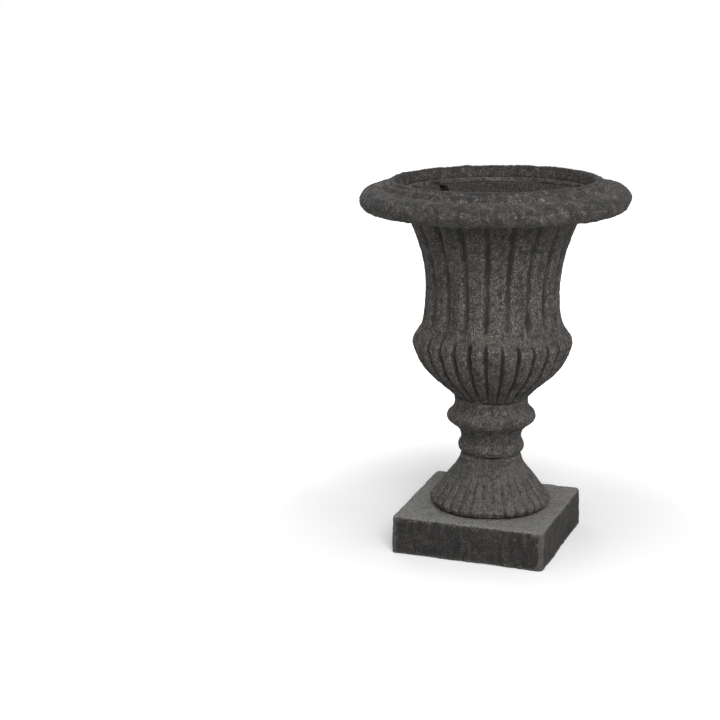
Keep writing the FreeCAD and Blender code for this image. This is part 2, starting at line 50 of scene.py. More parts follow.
def floorOf(node):  # lowest level of a frame node, in millimetres
    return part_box(node)[0].z / mm


def topOf(node):
    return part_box(node)[1].z / mm


# the camera stands where the photograph was taken from
cameraSetup = {
    "place": (702.8, -2512.8, 955.1),       # mm from the plinth's centre
    "heading": (-0.3476, 0.9376),
    "pitchDown": 14.0,
    "roll": -0.48,
    "focalPixels": 1647.4,
    "imageWidth": 720,
    "sensorWidth": 36.0,
}


def makeCamera(setup):
    pitch = math.radians(setup["pitchDown"])
    roll = math.radians(setup["roll"])
    headX, headY = setup["heading"]
    ahead = Vector((headX * math.cos(pitch), headY * math.cos(pitch), -math.sin(pitch)))
    right = Vector((headY, -headX, 0)).normalized()
    above = right.cross(ahead)
    camRight = right * math.cos(roll) + above * math.sin(roll)
    camUp = above * math.cos(roll) - right * math.sin(roll)
    data = bpy.data.cameras.new("viewCamera")
    data.sensor_width = setup["sensorWidth"]
    data.lens = setup["focalPixels"] / setup["imageWidth"] * setup["sensorWidth"]
    data.clip_start = 0.05
    data.clip_end = 40
    camera = bpy.data.objects.new("viewCamera", data)
    turning = Matrix((camRight, camUp, -ahead)).transposed().to_4x4()
    camera.matrix_world = Matrix.Translation(Vector(setup["place"]) * mm) @ turning
    bpy.context.scene.collection.objects.link(camera)
    bpy.context.scene.camera = camera


makeCamera(cameraSetup)
print("camera placed")


class Wire:
    # one output socket, so that a shader's sums read as plain expressions
    def __init__(self, board, socket):
        self.board = board
        self.socket = socket

    def sum(self, operation, first, second):
        return self.board.node("ShaderNodeMath", {"operation": operation}, {0: first, 1: second})

    def __add__(self, other):
        return self.sum("ADD", self, other)

    def __radd__(self, other):
        return self.sum("ADD", other, self)

    def __sub__(self, other):
        return self.sum("SUBTRACT", self, other)

    def __rsub__(self, other):
        return self.sum("SUBTRACT", other, self)

    def __mul__(self, other):
        return self.sum("MULTIPLY", self, other)

    def __rmul__(self, other):
        return self.sum("MULTIPLY", other, self)

    def atMost(self, other):
        return self.sum("MINIMUM", self, other)

    def between(self, low, high):  # 0 at low, 1 at high, eased at both ends
        return self.board.node("ShaderNodeMapRange", {"interpolation_type": "SMOOTHSTEP"},
                               {"Value": self, "From Min": low, "From Max": high})


class Board:
    # the node board of one material or of the world
    def __init__(self, owner):
        owner.use_nodes = True
        self.tree = owner.node_tree
        self.tree.nodes.clear()

    def node(self, kind, settings=None, sockets=None, output=0):
        made = self.tree.nodes.new(kind)
        for setting, value in (settings or {}).items():
            setattr(made, setting, value)
        for socket, value in (sockets or {}).items():
            if isinstance(value, Wire):
                self.tree.links.new(value.socket, made.inputs[socket])
            else:
                made.inputs[socket].default_value = value
        return Wire(self, made.outputs[output]) if len(made.outputs) else made

    def mixed(self, share, first, second):  # 6, 7 and 2 are the Mix node's colour sockets
        first, second = ((*value, 1) if isinstance(value, tuple) else value for value in (first, second))
        return self.node("ShaderNodeMix", {"data_type": "RGBA"}, {0: share, 6: first, 7: second}, 2)

    def spot(self, stretch=(1, 1, 1)):
        place = self.node("ShaderNodeTexCoord", output="Object")
        return self.node("ShaderNodeVectorMath", {"operation": "MULTIPLY"}, {0: place, 1: stretch})

    def cloud(self, perMetre, detail=3.0, rough=0.55, stretch=(1, 1, 1)):
        return self.node("ShaderNodeTexNoise", {}, {"Vector": self.spot(stretch), "Scale": perMetre,
                                                    "Detail": detail, "Roughness": rough})

    def painted(self, name):  # a value kept on the mesh's points
        return self.node("ShaderNodeAttribute", {"attribute_name": name}, output="Fac")

    def skyward(self):  # 1 on a surface that faces the sky, 0 on an upright one
        facing = self.node("ShaderNodeTexCoord", output="Normal")
        return self.node("ShaderNodeSeparateXYZ", {}, {0: facing}, "Z")

    def shade(self, colour, roughness, height, bump, constants):
        normal = self.node("ShaderNodeBump", {}, {**bump, "Height": height})
        shader = self.node("ShaderNodeBsdfPrincipled", {}, {"Base Color": colour, "Roughness": roughness,
                                                            "Normal": normal, **constants})
        self.node("ShaderNodeOutputMaterial", {}, {"Surface": shader})


cementLook = {
    "charcoal": (0.070, 0.069, 0.068),
    "warmMid": (0.118, 0.110, 0.101),
    "coolDark": (0.026, 0.025, 0.025),
    "tanBrush": (0.385, 0.340, 0.292),
    # the pale colour: dust and painted top light on faces turned to the sky, edge wear and painted highlight
    # on ridges
    "dust": (0.172, 0.168, 0.158),
    "bareInside": (0.020, 0.017, 0.014),
    # near black: painted shade in the ragged hollow under the lip
    "hollowShade": (0.003, 0.003, 0.003),
    "roughness": 0.88,
    "clouds": {                             # how many to a metre, then detail, roughness and stretch
        "broad": (9,),
        "patch": (55, 5, 0.68),
        "streak": (95, 5, 0.66, (1, 1, 0.12)),
        "speck": (600, 2, 0.7, (1, 1, 0.55)),
        "grit": (680, 2, 0.7),
        "pit": (210, 2, 0.5),
    },
    "bump": {"Strength": 1.0, "Distance": 0.003},
    "gloss": {"Specular IOR Level": 0.28},
}


def cementFinish(name, tone=1.0, brush=1.0, stain=1.0, dustAndTopLight=1.0, dustAndTopLightTone=1.0, topDark=0.0):
    material = bpy.data.materials.new(name)
    board = Board(material)
    charcoal, warm, cool, tan = (tuple(channel * tone for channel in cementLook[key])
                                 for key in ("charcoal", "warmMid", "coolDark", "tanBrush"))
    relief = board.painted("relief")            # -1 in a hollow, 1 on a ridge
    groove = board.painted("groove")            # 1 where shade is painted: along the bottoms of grooves, under the rim and in the ragged hollow
    bare = board.painted("bare")                # 1 where the brush never reached
    sky = board.skyward()
    broad, patch, streak, speck, grit, pit = (board.cloud(*cloud) for cloud in cementLook["clouds"].values())
    pit = pit.between(0.37, 0.27)
    colour = board.mixed((broad * 0.5 + patch * 0.5).between(0.42, 0.60), charcoal, warm)
    # darker along streaks, which are stains, and in hollows, which is painted shade
    stainAndShade = streak.between(0.46, 0.60) * (0.65 * stain) + relief.between(-0.3, -1.0) * 0.25
    # painted shade wherever the groove value is high
    stainAndShade = stainAndShade + groove * (0.15 + patch * 0.65) + sky.between(0.1, 0.75) * topDark
    stainAndShade = stainAndShade.atMost(0.9)
    colour = board.mixed(stainAndShade, colour, cool)
    catch = patch * 0.9 + relief * 0.35 - groove * 0.5 - streak * 0.35
    catch = (catch - sky.between(0.1, 0.75) * (topDark * 0.2) + 0.1).between(0.1, 0.6)
    colour = board.mixed((speck.between(0.49, 0.57) * catch * (0.85 * brush)).atMost(1.0), colour, tan)
    # paler on faces turned to the sky: partly dust, partly painted top light
    dust = sky.between(0.35, 0.98) * (patch.between(0.3, 0.55) * 0.4 + 0.35) * dustAndTopLight
    pale = tuple(channel * dustAndTopLightTone for channel in cementLook["dust"])
    # paler on ridges: partly edge wear, partly painted highlight
    colour = board.mixed((dust + relief.between(0.55, 1.0) * speck * 0.7).atMost(0.92), colour, pale)
    colour = board.mixed(grit.between(0.51, 0.57) * 0.8, colour, cool)
    colour = board.mixed(pit * 0.65, colour, cool)
    # in bare places the unpainted inside colour, near black in the ragged hollow as painted shade
    unpainted = board.mixed(groove, cementLook["bareInside"], cementLook["hollowShade"])
    colour = board.mixed(bare * (0.97 - speck.between(0.5, 0.62) * 0.35), colour, unpainted)
    height = speck * 0.6 + grit * 0.4 + patch * 0.5 - pit * 0.8
    board.shade(colour, cementLook["roughness"] + (speck - 0.5) * 0.15 - stainAndShade * 0.1, height,
                cementLook["bump"], cementLook["gloss"])
    return material


def mortarFinish(name):
    material = bpy.data.materials.new(name)
    board = Board(material)
    groove = board.painted("groove")
    patch = board.cloud(110, 4, 0.65)
    sand = board.cloud(330, 4, 0.75)
    colour = board.mixed(patch.between(0.4, 0.6), (0.060, 0.058, 0.056), (0.120, 0.108, 0.095))
    colour = board.mixed(sand.between(0.53, 0.64) * 0.6, colour, (0.24, 0.205, 0.17))
    # painted shade where the mortar has fallen out of the joint; darker also on the lumps
    colour = board.mixed((groove * 0.9).atMost(0.9), colour, (0.020, 0.019, 0.018))
    board.shade(colour, 0.82 + sand * 0.14, patch + sand * 0.6, {"Strength": 0.9, "Distance": 0.0022},
                {"Specular IOR Level": 0.25})
    return material


def zincFinish(name):
    material = bpy.data.materials.new(name)
    board = Board(material)
    spangle = board.node("ShaderNodeTexVoronoi", {}, {"Vector": board.spot(), "Scale": 420.0}, "Color")
    tint = board.node("ShaderNodeSeparateColor", {}, {0: spangle})
    cloud = board.cloud(160, 4, 0.6)
    dust = board.cloud(900, 3, 0.6)
    colour = board.mixed(tint * 0.5 + cloud * 0.4, (0.30, 0.31, 0.32), (0.52, 0.53, 0.55))
    rust = (cloud * dust).between(0.26, 0.36)
    colour = board.mixed(rust * 0.55, colour, (0.16, 0.10, 0.06))
    board.shade(colour, 0.42 + cloud * 0.2 + rust * 0.3, dust, {"Strength": 0.3, "Distance": 0.0003},
                {"Metallic": 0.85})
    return material


finishes = {
    "urn": cementFinish("charcoalCement"),
    "rim": cementFinish("rimCement", tone=0.76, brush=1.2, stain=0.6, dustAndTopLight=0.1, topDark=0.6),
    "foot": cementFinish("footCement", tone=1.25, brush=0.55, stain=0.6),
    "base": cementFinish("baseCement", tone=0.6, brush=0.4, stain=1.0, dustAndTopLight=1.55, dustAndTopLightTone=1.95),
    "mortar": mortarFinish("darkMortar"),
    "zinc": zincFinish("dullZinc"),
}
print("finishes mixed")


# runs of (radius, level) points in millimetres, each without its last point


def straight(start, end, step):
    count = max(1, round(math.dist(start, end) / step))
    return [(start[0] + (end[0] - start[0]) * index / count,
             start[1] + (end[1] - start[1]) * index / count) for index in range(count)]


def corners(points, step):
    run = []
    for start, end in zip(points, points[1:]):
        run += straight(start, end, step)
    return run


def arcRun(start, passing, end, step):
    (ax, ay), (bx, by), (cx, cy) = start, passing, end
    spread = 2 * (ax * (by - cy) + bx * (cy - ay) + cx * (ay - by))
    sa, sb, sc = ax * ax + ay * ay, bx * bx + by * by, cx * cx + cy * cy
    midX = (sa * (by - cy) + sb * (cy - ay) + sc * (ay - by)) / spread
    midY = (sa * (cx - bx) + sb * (ax - cx) + sc * (bx - ax)) / spread
    radius = math.dist(start, (midX, midY))
    first = math.atan2(ay - midY, ax - midX)
    through = (math.atan2(by - midY, bx - midX) - first) % fullTurn
    last = (math.atan2(cy - midY, cx - midX) - first) % fullTurn
    swing = last if through < last else last - fullTurn
    count = max(2, round(abs(swing) * radius / step))
    return [(midX + radius * math.cos(first + swing * index / count),
             midY + radius * math.sin(first + swing * index / count)) for index in range(count)]


def curveRun(points, step):  # a smooth run through every point
    guide = [np.array(point, float) for point in points]
    guide = [guide[0] * 2 - guide[1]] + guide + [guide[-1] * 2 - guide[-2]]
    run = []
    for before, start, end, after in zip(guide, guide[1:], guide[2:], guide[3:]):
        chord = np.linalg.norm(end - start)
        leave = (end - before) * chord / (chord + np.linalg.norm(start - before))
        arrive = (after - start) * chord / (chord + np.linalg.norm(after - end))
        count = max(1, round(float(chord) / step))
        for share in np.arange(count) / count:
            square, cube = share ** 2, share ** 3
            where = (start * (2 * cube - 3 * square + 1) + leave * (cube - 2 * square + share)
                     + end * (3 * square - 2 * cube) + arrive * (cube - square))
            run.append(tuple(where))
    return run


def smoothStep(value, low, high):
    share = np.clip((value - low) / (high - low), 0, 1)
    return share * share * (3 - 2 * share)


# a casting is a grid of points: rows follow its section, and each row goes once round the urn


def turnedGrid(section, turns):
    runs = np.array(section, float)
    radius = np.repeat(runs[:, :1], turns, 1)
    level = np.repeat(runs[:, 1:], turns, 1)
    angle = np.repeat((np.arange(turns) * fullTurn / turns)[None], len(runs), 0)
    return radius, level, angle


def toPoints(radius, level, angle):
    return np.stack([radius * np.cos(angle), radius * np.sin(angle), level], -1)


def gridNormals(points):
    along = np.roll(points, -1, 1) - np.roll(points, 1, 1)
    up = np.roll(points, -1, 0) - np.roll(points, 1, 0)
    normals = np.cross(along, up)
    return normals / np.maximum(np.linalg.norm(normals, axis=-1, keepdims=True), 1e-9)


def cloudAt(points, size, octaves, shift):  # about -1 to 1, with lumps of `size` millimetres
    offset = Vector((shift, shift * 0.7, -shift * 1.3))
    flat = points.reshape(-1, 3) / size
    values = [noise.fractal(Vector(point) + offset, 0.9, 2.1, octaves) for point in flat]
    return np.array(values).reshape(points.shape[:2] + (1,))


def weathered(points, shift, wave=0.9, rock=0.5, lump=0.5, pit=0.6, shown=1.0):
    # hand-cast unevenness: slow waves, knocks, small lumps and pits
    push = cloudAt(points, 80, 2, shift) * wave
    push += cloudAt(points, 26, 2, shift + 3) * rock
    push += cloudAt(points, 9, 3, shift + 5) * lump * shown
    push -= smoothStep(cloudAt(points, 4.2, 2, shift + 9), 0.25, 0.65) * pit * shown
    return points + gridNormals(points) * push


def reliefOf(points, edges, reach=4, full=0.9):
    # how far each point stands proud of the points round it, with a share of the section's own edges
    soft = points.copy()
    for axis in (0, 1):
        soft = sum(np.roll(soft, shift, axis) for shift in range(-reach, reach + 1)) / (2 * reach + 1)
    proud = ((points - soft) * gridNormals(points)).sum(-1)
    return np.clip((proud - (1 - edges) * proud.mean(1, keepdims=True)) / full, -1, 1)


def gridFaces(rows, turns, leftOut):
    faces = []
    for row in range(rows):
        if row != leftOut:
            above = (row + 1) % rows
            for turn in range(turns):
                following = (turn + 1) % turns
                faces.append((row * turns + turn, row * turns + following,
                              above * turns + following, above * turns + turn))
    return faces


holeSides = 36


def drill(mesh, rings, holes):
    # closes a casting between two of its rings with a disc that has holes through it
    board = bmesh.new()
    board.from_mesh(mesh)
    board.verts.ensure_lookup_table()
    hoops = []
    for verts in [[board.verts[index] for index in ring] for ring in rings]:
        level = sum(vert.co.z for vert in verts) / len(verts)
        loops = [verts]
        for x, y, radius in holes:
            loops.append([board.verts.new(((x + radius * math.cos(turn)) * mm,
                                           (y + radius * math.sin(turn)) * mm, level))
                          for turn in np.arange(holeSides) * fullTurn / holeSides])
        edges = []
        for loop in loops:
            for start, end in zip(loop, loop[1:] + loop[:1]):
                edges.append(board.edges.get((start, end)) or board.edges.new((start, end)))
        bmesh.ops.triangle_fill(board, use_beauty=True, edges=edges)
        hoops.append(loops[1:])
    for low, high in zip(*hoops):
        for index, vert in enumerate(low):
            following = (index + 1) % len(low)
            board.faces.new((vert, low[following], high[following], high[index]))
    bmesh.ops.recalc_face_normals(board, faces=board.faces)
    board.to_mesh(mesh)
    board.free()


def makePiece(name, points, finish, node, plugRow=None, holes=(), smooth=True,
              groove=0.0, bare=0.0, edges=0.2):
    rows, turns = points.shape[:2]
    mesh = bpy.data.meshes.new(name)
    faces = gridFaces(rows, turns, plugRow)
    mesh.from_pydata((points.reshape(-1, 3) * mm).tolist(), [], faces)
    for layer, values in (("relief", reliefOf(points, edges)), ("groove", groove), ("bare", bare)):
        spread = np.broadcast_to(values, (rows, turns)).astype(np.float32)
        mesh.attributes.new(layer, "FLOAT", "POINT").data.foreach_set("value", spread.ravel())
    if plugRow is not None:
        drill(mesh, [range(row * turns, (row + 1) * turns) for row in (plugRow, (plugRow + 1) % rows)], holes)
    mesh.polygons.foreach_set("use_smooth", [smooth] * len(mesh.polygons))
    mesh.update()
    mesh.materials.append(finishes[finish])
    piece = bpy.data.objects.new(name, mesh)
    bpy.context.scene.collection.objects.link(piece)
    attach(piece, "root")
    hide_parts(node)
    print(name, len(mesh.polygons), "faces")


def drainHoles(count, circle, radius, start):
    turns = [math.radians(start) + fullTurn * index / count for index in range(count)]
    return [(circle * math.cos(turn), circle * math.sin(turn), radius) for turn in turns]


def acrossLobe(angle, count, lead):  # 0 on a lobe's crest, 1 in the valleys beside it
    share = ((angle - math.radians(lead)) / fullTurn * count) % 1
    return np.abs(2 * share - 1)


def nearTurn(angle, turn, width):  # 1 at a turn in degrees, falling away over its width
    away = (angle - math.radians(turn) + math.pi) % fullTurn - math.pi
    return np.exp(-(away / math.radians(width)) ** 2)


def eachLobe(angle, count, lead, seed, spread):  # one steady value for each lobe
    index = np.floor((angle - math.radians(lead)) / fullTurn * count) % count
    return np.sin(index * 12.9898 + seed * 78.233) * spread


gapTurn, ragTurn = -70.0, 144.0        # degrees: where the beds have fallen out and the mouth is ragged

settleSetup = {
    "startLevel": 380.0,        # above this the urn goes slowly out of round and out of true
    "fullLevel": 560.0,
    "ovalness": 0.010,
    "leanTurn": 15.7,           # degrees round the urn, towards which it leans
    "lean": 1.8,
    "tilt": 0.003,              # rise of the leaning side, per millimetre from the axis
}


def settle(points):
    x, y, level = points[..., 0], points[..., 1], points[..., 2]
    share = smoothStep(level, settleSetup["startLevel"], settleSetup["fullLevel"])
    turn = math.radians(settleSetup["leanTurn"])
    stretch = 1 + share * settleSetup["ovalness"] * 2 * x * y / np.maximum(x * x + y * y, 1)
    rise = share * settleSetup["tilt"] * (x * math.cos(turn) + y * math.sin(turn))
    shift = share * settleSetup["lean"]
    moved = [x * stretch + shift * math.cos(turn), y * stretch + shift * math.sin(turn), level + rise]
    return np.stack(moved, -1)


bowlSetup = {
    "seatRadius": 60.8, "keel": (84.0, 22.0), "flank": (110.6, 50.0), "belly": (127.2, 88.0),
    "brow": (122.6, 104.0), "shoulderLevel": 118.0, "shoulderLedge": 0.9, "joinLevel": 134.0,
    "waistRadius": 108.0, "waistLevel": 172.0, "bellSweep": 269.0, "height": 328.0,
    "wall": 14.0, "floor": 18.0, "floorRadius": 60.0, "heelRadius": 71.0,
    "lipBand": 34.0,                        # the inner wall is finer down to here below the lip
    "fluteCount": 20, "fluteLead": 10.8, "fluteDepth": 4.0, "fluteEnd": 14.0, "fluteWander": 0.014,
    "fluteUneven": 0.35,
    "gadroonCount": 30, "gadroonLead": 5.3, "gadroonDepth": 8.8, "gadroonTop": 110.0, "gadroonProud": 2.2,
    "gadroonUneven": 0.18, "gadroonTopSpread": 22.0,
    # painted shade under the rim: from and to, in millimetres below the top, and how dark
    "rimShadowFrom": 46.0, "rimShadowTo": 16.0, "rimShadowShare": 0.6,
    "hollowWidth": 3.6, "hollowReach": 9.0, "hollowDepth": 9.0,
    "socketRadius": 38.5, "socketDepth": 5.6, "plugRadius": 33.0,
    "rodHole": 6.7, "drainRadius": 5.5, "drainCircle": 22.4,
    "turns": 600,
}


def bellRadiusAt(level, wall=0.0):
    setup = bowlSetup
    sweep = setup["bellSweep"]
    return setup["waistRadius"] + sweep - math.sqrt((sweep + wall) ** 2 - (level - setup["waistLevel"]) ** 2)


def makeBowl():
    setup = bowlSetup
    shoulder, height, wall = setup["shoulderLevel"], setup["height"], setup["wall"]
    join = setup["joinLevel"]
    fineTo = height - setup["lipBand"]
    seat, plug, socket = setup["seatRadius"], setup["plugRadius"], setup["socketRadius"]
    floor, depth = setup["floor"], setup["socketDepth"]
    (flankRadius, flankLevel), (bellyRadius, bellyLevel) = setup["flank"], setup["belly"]
    outside = curveRun([(seat, 0), setup["keel"], setup["flank"], setup["belly"], setup["brow"],
                        (bellRadiusAt(shoulder) + setup["shoulderLedge"], shoulder),
                        (bellRadiusAt(join), join)], 1.8)
    outside += [(bellRadiusAt(level), level) for level in np.arange(join, height - 1, 2.5)]
    inside = straight((bellRadiusAt(height), height), (bellRadiusAt(height, wall), height), 3.0)
    inside += [(bellRadiusAt(level, wall), level) for level in np.arange(height, fineTo, -2.0)]
    inside += [(bellRadiusAt(level, wall), level) for level in np.arange(fineTo, shoulder, -6.0)]
    inside += curveRun([(bellRadiusAt(shoulder, wall), shoulder), (bellyRadius - wall, bellyLevel),
                        (flankRadius - 11, flankLevel + 6), (setup["heelRadius"], floor + 5),
                        (setup["floorRadius"], floor)], 5.0)
    inside += straight((setup["floorRadius"], floor), (plug, floor), 6.0)
    inside.append((plug, floor))
    under = corners([(plug, depth), (socket, depth), (socket, 0), (seat, 0)], 4.0)
    section = outside + inside + under
    radius, level, angle = turnedGrid(section, setup["turns"])
    row = np.arange(len(section))[:, None]
    isOutside = row < len(outside)
    isInside = (row >= len(outside)) & (row < len(outside + inside))
    raw = toPoints(radius, level, angle)
    strength = 1 + cloudAt(raw, 45, 2, 23)[:, :, 0] * 0.5
    angle = angle + cloudAt(raw, 60, 2, 17)[:, :, 0] * setup["fluteWander"] * isOutside
    # rounded lobes with deep valleys between them, which end as darts under the shoulder
    across = acrossLobe(angle, setup["gadroonCount"], setup["gadroonLead"])
    uneven = eachLobe(angle, setup["gadroonCount"], setup["gadroonLead"], 2, setup["gadroonUneven"])
    lobeTop = setup["gadroonTop"] + uneven * setup["gadroonTopSpread"]
    fade = 1 - smoothStep(level, lobeTop - 12, lobeTop)
    narrowing = 1.95 + 7 * smoothStep(level, lobeTop - 34, lobeTop)
    sunk = (1 - np.sqrt(1 - np.minimum(across, 0.999) ** narrowing)) * fade
    proud = smoothStep(level, 6, 40) * fade * (1 - across ** 2) * setup["gadroonProud"]
    deep = sunk * setup["gadroonDepth"] * (1 + uneven) * strength * radius / setup["belly"][0]
    radius = radius + isOutside * (proud - deep)
    # painted shade along the valleys between the lobes, and a little over the whole belly
    groove = np.maximum(smoothStep(across, 0.58, 0.98) * 0.95, 0.22) * fade
    # wide staves between soft grooves, which run over the shoulder and out below the rim
    across = acrossLobe(angle, setup["fluteCount"], setup["fluteLead"])
    uneven = eachLobe(angle, setup["fluteCount"], setup["fluteLead"], 5, setup["fluteUneven"])
    fluteTop = height - setup["fluteEnd"]
    aboveShoulder = smoothStep(level, shoulder - 8, shoulder + 26)
    shown = aboveShoulder * (1 - smoothStep(level, fluteTop - 14, fluteTop + 8))
    sunk = smoothStep(across, 0.42 + uneven * 0.3, 1.0) * 0.7 + across ** 2 * 0.3
    radius = radius - isOutside * sunk * shown * strength * setup["fluteDepth"] * (1 + uneven)
    # painted shade along the bottoms of the flutes, deeper on some flutes than others
    stripe = smoothStep(across, 0.5 + uneven * 0.2, 1.0) * shown * strength * (0.12 + uneven * 0.5)
    # painted shade below the rim, where its overhang shades the bell
    rimShadow = smoothStep(level, height - setup["rimShadowFrom"], height - setup["rimShadowTo"])
    groove = np.maximum(np.maximum(groove, stripe), rimShadow * setup["rimShadowShare"])
    # a ragged hollow in the bare inner wall, just under the rim
    reach = setup["hollowReach"]
    belowLip = np.exp(-((level - height + reach) / reach) ** 2)
    hollow = nearTurn(angle, ragTurn, setup["hollowWidth"]) * belowLip * isInside
    torn = hollow + cloudAt(raw, 7, 3, 29)[:, :, 0] * 0.35
    hollow = smoothStep(torn, 0.3, 0.6) * isInside * (hollow > 0.02)
    radius = radius + hollow * setup["hollowDepth"]
    # the ragged hollow is painted near black: painted shade
    groove = np.clip(np.maximum(groove * isOutside, hollow), 0, 1)
    points = settle(toPoints(radius, level + floorOf("bowl_shell"), angle))
    points = weathered(points, 3, lump=0.65, shown=0.4 + 0.6 * isOutside[:, :, None])
    holes = [(0, 0, setup["rodHole"])] + drainHoles(3, setup["drainCircle"], setup["drainRadius"], 90)
    makePiece("fluted_bowl", points, "urn", "bowl_shell", len(outside + inside) - 1, holes,
              groove=groove, bare=isInside)


rimSetup = {
    "mouth": 156.95, "lipDraw": 4.0,
    "shelfEdge": (190.0, 5.2), "rollHigh": (206.6, 0.5), "rollOut": (214.85, -10.2),
    "rollLow": (209.5, -24.5), "rollHeart": (195.85, -29.5),
    "skirt": (144.8, -29.5), "socket": 158.9, "lapRise": 7.0,
    # each knock: degrees round the urn, degrees wide, millimetres out and millimetres up
    "knocks": ((40, 24, 2.0, 1.2), (15.7, 30, -1.8, 0), (195.7, 34, -1.2, 0), (166, 22, 0.8, 0.6)),
    "turns": 640,
}


def makeRim():
    setup = rimSetup
    mouth, socket, lap = setup["mouth"], setup["socket"], -setup["lapRise"]
    lip = (mouth - setup["lipDraw"], 0.0)
    section = curveRun([lip, (mouth - 0.9, 12), (mouth + 1.4, 17.2), (mouth + 5.5, 19), (mouth + 9.6, 17.4),
                        (mouth + 11.4, 14.0), (mouth + 14, 14.4), (mouth + 17.6, 12.6), (mouth + 20, 8.6),
                        (mouth + 22.4, 5.3), (mouth + 27, 5.6), setup["shelfEdge"]], 1.6)
    section += arcRun(setup["shelfEdge"], setup["rollHigh"], setup["rollOut"], 1.9)
    section += arcRun(setup["rollOut"], setup["rollLow"], setup["rollHeart"], 1.9)
    section += straight(setup["rollHeart"], setup["skirt"], 3.0)
    section += corners([setup["skirt"], (socket, lap), (socket, 0), lip], 5.0)
    radius, level, angle = turnedGrid(section, setup["turns"])
    outer = smoothStep(radius, mouth + 6, mouth + 24)
    for turn, width, out, up in setup["knocks"]:
        near = nearTurn(angle, turn, width) * outer
        radius = radius + near * out
        level = level + near * up
    bare = np.where(level < 1, 1.0, 0.55) * (radius < mouth + 3)
    points = settle(toPoints(radius, level + topOf("lap_strip"), angle))
    points = weathered(points, 21, wave=1.2, rock=1.0, lump=0.7)
    makePiece("rolled_rim", points, "rim", "rim_ring", bare=bare)


footSetup = {
    "base": 95.0, "toe": (99.0, 8.0), "arch": (88.5, 22.0), "instep": (73.5, 42.0), "shin": (61.0, 58.0),
    "ankle": (52.0, 72.0), "top": (48.3, 84.0),
    "spigot": 37.9, "spigotRise": 8.0, "bore": 28.9, "roof": 64.5, "haunch": (58.0, 34.0), "mouth": 82.6,
    "ribCount": 32, "ribLead": 7.8, "ribDepth": 3.1,
    "turns": 512,
}


def makeFoot():
    setup = footSetup
    height = setup["top"][1]
    spigot, bore, rise = setup["spigot"], setup["bore"], height + setup["spigotRise"]
    outside = curveRun([(setup["base"], 0), setup["toe"], setup["arch"], setup["instep"], setup["shin"],
                        setup["ankle"], setup["top"]], 1.7)
    inside = corners([setup["top"], (spigot, height), (spigot, rise), (bore, rise), (bore, setup["roof"]),
                      setup["haunch"], (setup["mouth"], 0), (setup["base"], 0)], 6.0)
    radius, level, angle = turnedGrid(outside + inside, setup["turns"])
    isOutside = (np.arange(len(outside + inside)) < len(outside))[:, None]
    across = acrossLobe(angle, setup["ribCount"], setup["ribLead"])
    uneven = eachLobe(angle, setup["ribCount"], setup["ribLead"], 7, 0.3)
    shown = 1 - smoothStep(level, 30, setup["ankle"][1] + 4)
    strength = 1 + cloudAt(toPoints(radius, level, angle), 30, 2, 47)[:, :, 0] * 0.7
    sunk = (0.5 * smoothStep(across, 0.3, 1.0) + 0.5 * across ** 2) * shown * strength
    radius = radius - isOutside * sunk * setup["ribDepth"] * (1 + uneven) * radius / setup["toe"][0]
    # painted shade along the rib valleys
    groove = isOutside * smoothStep(across, 0.5, 1.0) * shown * strength * 0.3
    points = toPoints(radius, level + floorOf("foot_shell"), angle)
    points = weathered(points, 41, wave=0.8, rock=0.7, lump=0.7)
    makePiece("ribbed_foot", points, "foot", "foot_shell", groove=np.clip(groove, 0, 1))


stemSetup = {
    "base": 48.3, "bead": (54.2, 9.6), "groove": (50.2, 20.0), "neck": (49.4, 27.6), "flare": (53.4, 39.2),
    "underKnop": (59.5, 46.0),
    "knopLow": (66.1, 50.5), "knop": (72.6, 60.5), "knopHigh": (66.1, 70.5), "collarHollow": (60.3, 80.2),
    "collar": (59.6, 89.0), "top": (60.3, 92.0),
    "spigot": 37.9, "spigotRise": 8.0, "bore": 28.9, "socket": 38.5, "socketDepth": 5.6,
    "turns": 400,
}


def makeStem():
    setup = stemSetup
    height = setup["top"][1]
    section = arcRun((setup["base"], 0), setup["bead"], setup["groove"], 1.6)
    section += arcRun(setup["groove"], setup["neck"], setup["flare"], 1.7)
    section += curveRun([setup["flare"], setup["underKnop"], setup["knopLow"]], 1.7)
    section += arcRun(setup["knopLow"], setup["knop"], setup["knopHigh"], 1.7)
    section += arcRun(setup["knopHigh"], setup["collarHollow"], setup["collar"], 1.7)
    section += corners([setup["collar"], setup["top"]], 1.6)
    spigot, socket, bore = setup["spigot"], setup["socket"], setup["bore"]
    rise, depth = height + setup["spigotRise"], setup["socketDepth"]
    section += corners([setup["top"], (spigot, height), (spigot, rise), (bore, rise), (bore, depth),
                        (socket, depth), (socket, 0), (setup["base"], 0)], 6.0)
    radius, level, angle = turnedGrid(section, setup["turns"])
    points = toPoints(radius, level + floorOf("stem_knop"), angle)
    makePiece("turned_stem", weathered(points, 61, lump=0.6), "urn", "stem_knop")


plinthSetup = {
    "half": 127.0, "height": 63.0, "draft": 1.2, "cornerRadius": 6.5, "topEdge": 3.6, "footEdge": 2.6,
    "corners": {                            # how far each corner is pushed along X and Y, and lifted
        (-1, -1): (-4.0, 3.5, 0),
        (1, -1): (-5.0, -2.0, 0),
        (1, 1): (-2.0, -8.0, -1),
        (-1, 1): (-8.0, 4.0, 1.5),
    },
    "wall": 19.0, "ceiling": 43.0, "bossRadius": 82.0, "bossRise": 8.0, "plugRadius": 70.0,
    "rodHole": 6.7, "weepRadius": 6.0, "weepCircle": 55.0,
    "pointsRound": 520,
}


def squareRing(half, corner, count):
    # evenly spaced points round a square with rounded corners, from the middle of its +X side
    side = half - corner
    quarter = 2 * side + corner * math.pi / 2
    ring = []
    for index in range(count):
        along = (index / count * 4) % 1 * quarter
        turn = int(index / count * 4) * math.pi / 2
        if along < side:
            x, y = half, along
        elif along < side + corner * math.pi / 2:
            bend = (along - side) / corner
            x, y = side + corner * math.cos(bend), side + corner * math.sin(bend)
        else:
            x, y = quarter - along, half
        ring.append((x * math.cos(turn) - y * math.sin(turn), x * math.sin(turn) + y * math.cos(turn)))
    return np.array(ring)


